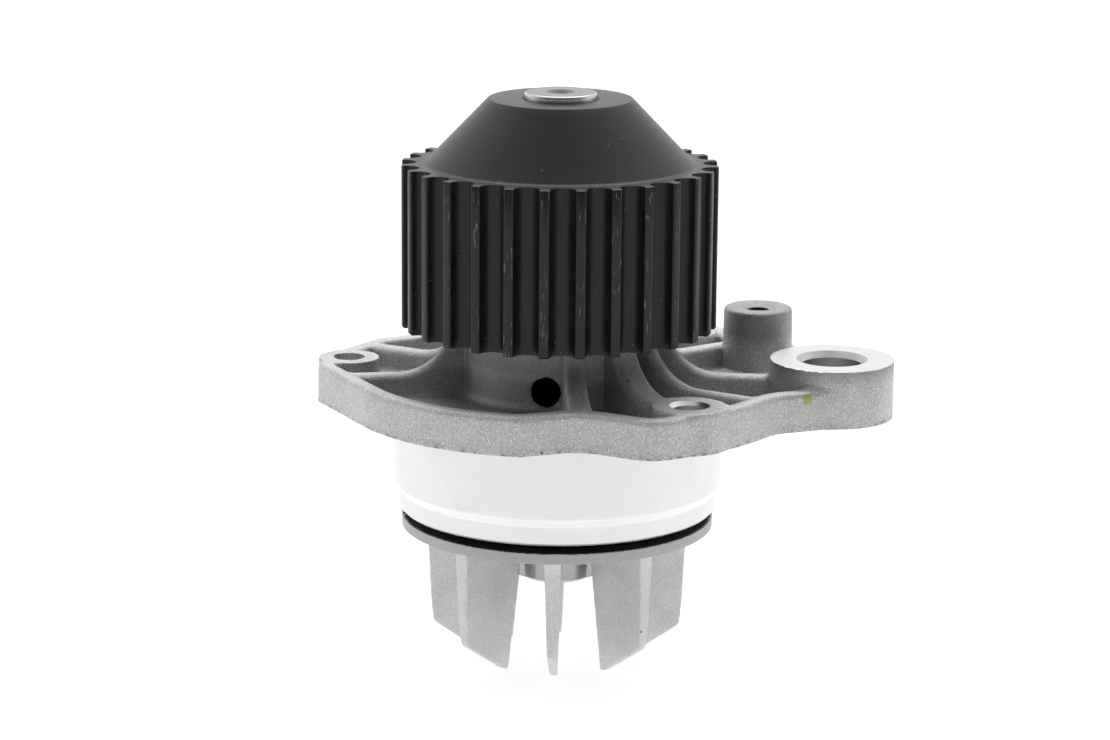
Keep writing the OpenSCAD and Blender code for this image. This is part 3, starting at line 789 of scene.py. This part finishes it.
def make_housing(cast, turned, faced_side, faced_front, faced_below, painted_shade, lead_in_highlight,
                 threaded, bored):
    """Casting, with other metal where it is machined, painted shade in its weep hole and the chamber
    behind it, and painted highlight on the spigot's lead-ins.
    """
    low, high = ([c / MM for c in corner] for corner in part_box("housing"))
    vertices, faces = polygonise(housing_distance, low, high, VOXEL)
    middle = face_centres(vertices, faces)
    away = np.hypot(middle[:, 0], middle[:, 1])
    kind = np.full(len(faces), CAST)

    def near(name, r):
        cx, cy = place(name)
        return np.hypot(middle[:, 0] - cx, middle[:, 1] - cy) < r

    level = middle[:, 2]
    kind[level < -ON_PLANE] = TURNED
    kind[(away < SEAL_SEAT_RADIUS + ON_WALL) & (level < height("housing", UP) - ON_WALL)] = TURNED
    kind[near("side_boss_hole", SIDE_BOSS + ON_WALL) & (level > SIDE_BOSS_TOP - 0.12)] = FACED_SIDE
    side_bore = near("side_boss_hole", SIDE_BOSS_MOUTH + ON_PLANE)
    kind[side_bore & (level > ON_PLANE)] = FACED_SIDE
    kind[side_bore & (np.abs(level - SIDE_BOSS_TOP / 2) < SIDE_BOSS_TOP / 2 - 0.08)] = BORED
    kind[near("front_bolt_hole", FRONT_MOUTH + ON_PLANE) & (level > ON_PLANE)] = FACED_FRONT
    kind[near("standoff_thread", radius("standoff_thread") + ON_WALL) & (level > 2)] = THREADED
    kind[np.abs(level) < ON_PLANE] = FACED_BELOW
    # Painted shade: the weep hole's wall and the chamber behind it take the near-black material, where
    # little light gets in
    weep = np.hypot(middle[:, 0] - WEEP_X, level - WEEP_Z) < WEEP_RADIUS + ON_WALL
    weep &= (middle[:, 1] < 0) & (away < HUB_RADIUS + HUB_FILLET)
    chamber = (level > SEAL_SEAT_TOP - ON_WALL) & (level < BEARING_SEAT)
    kind[weep | (chamber & (away < SHOULDER_RADIUS + ON_WALL))] = PAINTED_SHADE
    # Painted highlight: the spigot's lead-in chamfers take a lighter copy of the turned metal, for the
    # light that they catch
    (_, _), (lip, _), (neck, _), (land, _) = SPIGOT_PROFILE
    banded = (level < lip) | ((level > neck) & (level < land))
    kind[banded & (away > CAVITY_RADIUS + 1)] = LEAD_IN_HIGHLIGHT
    new_piece("pump_casting", vertices, faces.tolist(), "pump_housing", "housing",
              (cast, turned, faced_side, faced_front, faced_below, painted_shade, lead_in_highlight, threaded,
               bored), kind)


def make_impeller(cast, painted_shade, rim):
    """Cast impeller: its disc top under the seal cavity has painted shade, and it has a rim of its own.
    """
    low, high = ([c / MM for c in corner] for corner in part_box("impeller"))
    vertices, faces = polygonise(impeller_distance, low, high, IMPELLER_VOXEL)
    middle = face_centres(vertices, faces)
    away = np.hypot(middle[:, 0], middle[:, 1])
    inside_rim = reach("impeller") - DISC_RIM
    kind = np.zeros(len(faces), int)
    # Painted shade: the disc's top takes the near-black material, as it shows only through the dark gap
    # under the spigot
    kind[(middle[:, 2] > DISC_TOP - ON_PLANE) & (away < inside_rim)] = 1
    kind[away > inside_rim] = 2
    new_piece("vane_impeller", vertices, faces.tolist(), "rotor", "impeller",
              (cast, painted_shade, rim), kind)


TEETH = 28
FIRST_GROOVE = math.radians(-88.9)
GROOVE_RADIUS, GROOVE_DEPTH = 2.75, 3.47
TIP_EDGE = 0.45
CONE_BASE_RADIUS, CONE_TOP_RADIUS, CONE_TOP = 29.6, 15.85, 69.3
TOOTH_TOP = 55.0
CUP_RADIUS, CUP_ROOF = 27, 49.5
PULLEY_BOSS_RADIUS, PULLEY_BOSS_BOTTOM, CONE_WALL = 12.3, 54.6, 6
TOOTH_CHAMFER, CUP_CHAMFER, BORE_CHAMFER = 0.4, 0.4, 0.7
CONE_FOOT, CONE_CROWN = 1.6, 0.5


def tooth_outline(tip):
    """Outline of the toothed face: round grooves, and lands with softened corners."""
    centre = tip - GROOVE_DEPTH + GROOVE_RADIUS
    corner_r = tip - TIP_EDGE
    # The corner's centre lies TIP_EDGE outside the groove's circle and inside the tip circle
    reach_out = GROOVE_RADIUS + TIP_EDGE
    turn = math.acos((corner_r ** 2 + centre ** 2 - reach_out ** 2) / (2 * corner_r * centre))
    corner = np.array((corner_r * math.cos(turn), corner_r * math.sin(turn)))
    towards = math.atan2(corner[1], corner[0] - centre)
    half = [(centre + GROOVE_RADIUS * math.cos(a), GROOVE_RADIUS * math.sin(a))
            for a in np.linspace(math.pi, towards, 11)]
    half += [(corner[0] + TIP_EDGE * math.cos(a), corner[1] + TIP_EDGE * math.sin(a))
             for a in np.linspace(towards - math.pi, turn, 5)[1:]]
    pitch = 2 * math.pi / TEETH
    half += [(tip * math.cos(a), tip * math.sin(a)) for a in np.linspace(turn, pitch / 2, 4)[1:]]
    one = [(px, -py) for px, py in reversed(half[1:])][1:] + half
    outline = []
    for i in range(TEETH):
        a = FIRST_GROOVE + i * pitch
        outline += [(px * math.cos(a) - py * math.sin(a), px * math.sin(a) + py * math.cos(a))
                    for px, py in one]
    return np.array(outline)


def make_pulley(oxide):
    """Toothed belt pulley: tooth outline below, plain rings for the cone and the cup."""
    tip = reach("toothed_pulley")
    bottom = height("toothed_pulley", DOWN)
    shaft = reach("drive_shaft")
    outline = tooth_outline(tip)
    away = np.hypot(outline[:, 0], outline[:, 1])
    unit = outline / away[:, None]
    levels = []

    def toothed(z, limit):
        """Ring of the tooth outline, held inside a radius."""
        levels.append((unit * np.minimum(away, limit)[:, None], z))

    def plain(profile):
        """Round rings of a profile of (radius, height) points."""
        levels.extend((unit * r, z) for r, z in profile)

    for depth in (1.0, 0.8, 0.2, 0.0):
        toothed(bottom + TOOTH_CHAMFER * (1 - depth), tip - TOOTH_CHAMFER * depth)
    for share in (0.25, 0.5, 0.75):
        toothed(bottom + (TOOTH_TOP - bottom) * share, tip)
    toothed(TOOTH_TOP - 0.35, tip)
    toothed(TOOTH_TOP - 0.1, tip - 0.1)
    toothed(TOOTH_TOP, tip - 0.35)
    run, rise = CONE_BASE_RADIUS - CONE_TOP_RADIUS, CONE_TOP - TOOTH_TOP
    slope = math.degrees(math.atan2(rise, run))
    leg = CONE_FOOT * math.tan(math.radians(slope / 2))
    plain([(CONE_BASE_RADIUS + CONE_FOOT, TOOTH_TOP)])
    foot = (CONE_BASE_RADIUS + leg, TOOTH_TOP + CONE_FOOT)
    plain(arc(foot, CONE_FOOT, 270, 270 - slope, 6))
    plain([(CONE_BASE_RADIUS - run * s, TOOTH_TOP + rise * s) for s in (0.3, 0.5, 0.7, 0.9)])
    leg = CONE_CROWN * math.tan(math.radians(slope / 2))
    crown = (CONE_TOP_RADIUS - leg, CONE_TOP - CONE_CROWN)
    plain(arc(crown, CONE_CROWN, 90 - slope, 90, 4))
    plain([(12, CONE_TOP), (shaft + BORE_CHAMFER, CONE_TOP), (shaft, CONE_TOP - BORE_CHAMFER)])
    plain([(shaft, PULLEY_BOSS_BOTTOM), (PULLEY_BOSS_RADIUS, PULLEY_BOSS_BOTTOM)])
    plain([(PULLEY_BOSS_RADIUS, CONE_TOP - CONE_WALL), (CUP_RADIUS, CUP_ROOF)])
    plain([(CUP_RADIUS, bottom + CUP_CHAMFER), (CUP_RADIUS + CUP_CHAMFER, bottom)])
    count = len(outline)
    vertices = [(px, py, z) for ring, z in levels for px, py in ring]
    faces = []
    for i in range(len(levels)):
        j = (i + 1) % len(levels)
        for k in range(count):
            n = (k + 1) % count
            faces.append((i * count + k, i * count + n, j * count + n, j * count + k))
    new_piece("belt_pulley", vertices, faces, "rotor", "toothed_pulley", (oxide,),
              crease=28)


CENTRE_MOUTH, CENTRE_HOLE, CENTRE_DEPTH = 3.1, 1.1, 5.5
BALL_RADIUS, BALL_PITCH, BALL_TRACK_GAP = 3.175, 10.35, 0.02
LOW_EDGE, HIGH_EDGE = 0.8, 0.55


def shaft_end(z, side, r):
    """Profile of a centre hole in a shaft's end, from the axis out to the rim."""
    tip = z - side * CENTRE_DEPTH
    sink = (CENTRE_MOUTH - CENTRE_HOLE) * 1.2
    return [(0, tip), (CENTRE_HOLE, tip + side * 0.6), (CENTRE_HOLE, z - side * sink),
            (CENTRE_MOUTH, z), (r - 1.2, z)]


def make_shaft(steel, ends, painted_shade):
    """Ground shaft with rounded ends, centre holes, the groove that the balls run in and painted shade
    where it shows through the weep hole.
    """
    r = reach("drive_shaft")
    low, high = height("drive_shaft", DOWN), height("drive_shaft", UP)
    ball_low, ball_high = height("bearing_balls", DOWN), height("bearing_balls", UP)
    groove_z = (ball_low + ball_high) / 2
    groove_r = BALL_RADIUS + BALL_TRACK_GAP
    lean = math.degrees(math.acos((BALL_PITCH - r) / groove_r))
    groove = arc((BALL_PITCH, groove_z), groove_r, 180 + lean, 180 - lean, 12)
    outer = arc((r - LOW_EDGE, low + LOW_EDGE), LOW_EDGE, 270, 360, 4)
    outer += [(r, SEAL_SEAT_TOP), (r, BEARING_SEAT)] + groove + [(r, high - 6)]
    outer += arc((r - HIGH_EDGE, high - HIGH_EDGE), HIGH_EDGE, 0, 90, 4)
    bottom = shaft_end(low, -1, r)
    top = shaft_end(high, 1, r)
    profile = bottom + outer + top[::-1]
    vertices, faces = lathe(profile, TURNED_STEPS, closed=False)
    middle = face_centres(np.array(vertices), np.array(faces))
    kind = (np.abs(middle[:, 2] - (high + low) / 2) > (high - low) / 2 - 1.5).astype(int)
    kind[np.hypot(middle[:, 0], middle[:, 1]) > r - 0.3] = 0
    # Painted shade: the stretch that shows through the weep hole takes the near-black material
    kind[(middle[:, 2] > SEAL_SEAT_TOP) & (middle[:, 2] < BEARING_SEAT)] = 2
    new_piece("ground_shaft", vertices, faces, "rotor", "drive_shaft",
              (steel, ends, painted_shade), kind)


def make_bush(steel):
    """Turned bush that the impeller is cast round."""
    r, shaft = reach("impeller_bush"), reach("drive_shaft")
    low, high = height("impeller_bush", DOWN), height("impeller_bush", UP)
    profile = [(shaft, low + 0.4), (shaft + 0.4, low)] + arc((r - 0.5, low + 0.5), 0.5, 270, 360, 4)
    profile += [(r, low + 4), (r, high), (shaft, high)]
    vertices, faces = lathe(profile, TURNED_STEPS)
    new_piece("hub_bush", vertices, faces, "rotor", "impeller_bush", (steel,))


def dress_inner_parts():
    """Finishes of the bearing and seal parts, which keep their CAD shapes."""
    ground = turned_metal("ground_bearing_steel", 0.60, 0.16, (0.4, 0.4, 6), 1.2)
    polymer = plain_part("cage_polyamide", (0.13, 0.115, 0.07), 0.5, rough=0.5)
    rubber = plain_part("seal_rubber", (0.022, 0.022, 0.023), 0.4, rough=0.62)
    brass = plain_part("seal_case_brass", (0.60, 0.46, 0.20), 0.6, metallic=1.0, rough=0.3, depth=0.01)
    pressed = plain_part("pressed_steel", (0.55, 0.55, 0.54), 0.6, metallic=1.0, rough=0.3, depth=0.01)
    carbon = plain_part("carbon_graphite", (0.035, 0.035, 0.04), 0.3, metallic=0.3, rough=0.38)
    ceramic = plain_part("mating_ceramic", (0.10, 0.10, 0.11), 0.3, rough=0.2, depth=0.004)
    finishes = {
        "bearing_outer_ring": ground, "bearing_balls": ground, "bearing_rollers": ground,
        "ball_cage": polymer, "roller_cage": polymer,
        "bearing_seal_top": rubber, "bearing_seal_bottom": rubber, "slinger": rubber,
        "seal_bellows": rubber, "mating_ring_boot": rubber,
        "seal_case": brass, "bellows_ferrule": pressed, "seal_drive_ring": pressed,
        "mating_ring_sleeve": pressed, "seal_spring": pressed,
        "carbon_ring": carbon, "mating_ring": ceramic,
    }
    for name, finish in finishes.items():
        node = frame["nodes"][name]
        node.data.materials.clear()
        node.data.materials.append(finish)


make_camera()
make_studio()
# Painted shade: near-black stand-in for the shade in the weep hole, the chamber behind it, the shaft
# seen through it and the disc top under the spigot
chamber_shade = plain_part("weep_chamber_painted_shade", (0.012, 0.011, 0.010), 0.5, rough=0.9)
make_housing(
    blasted_casting("blasted_aluminium", light=0.68, dark=0.55, warmth=0.01, grain=0.36, metallic=0.75,
                    rough=(0.46, 0.62), pulley_shade=(22, 31, 9.3, 12.5), flash=(0.2, 1.1),
                    paint_dot=(54.1, -21.2, 7.2)),
    turned_metal("turned_aluminium", 0.80, 0.30, (0.15, 0.15, 2.4), 1.0),
    faced_metal("faced_boss", 0.76, 0.32, place("side_boss_hole")),
    faced_metal("faced_collar", 0.76, 0.32, place("front_bolt_hole")),
    turned_metal("milled_face", 0.80, 0.35, (0.3, 2.2, 1), 1.0),
    chamber_shade,
    # Painted highlight: lighter copy of the turned aluminium for the spigot's lead-ins
    turned_metal("lead_in_painted_highlight", 0.93, 0.34, (0.15, 0.15, 2.4), 1.0),
    turned_metal("tapped_thread", 0.22, 0.5, (0.3, 0.3, 4), 0.8),
    turned_metal("bored_wall", 0.56, 0.36, (0.3, 0.3, 3), 0.8, centre=place("side_boss_hole")),
)
make_impeller(
    blasted_casting("cast_impeller_metal", light=0.82, dark=0.70, warmth=0.0, grain=0.3, metallic=0.5,
                    rough=(0.42, 0.58), sparkling=0.8),
    chamber_shade,
    turned_metal("impeller_rim", 0.46, 0.5, (0.5, 0.5, 1), 0.5),
)
make_pulley(black_oxide("black_oxide_steel"))
make_shaft(turned_metal("ground_shaft_steel", 0.62, 0.2, (0.3, 0.3, 4), 1.0),
           faced_metal("shaft_end_steel", 0.30, 0.46, (0, 0)), chamber_shade)
make_bush(turned_metal("bush_steel", 0.40, 0.16, (0.3, 0.3, 5), 1.0))
dress_inner_parts()
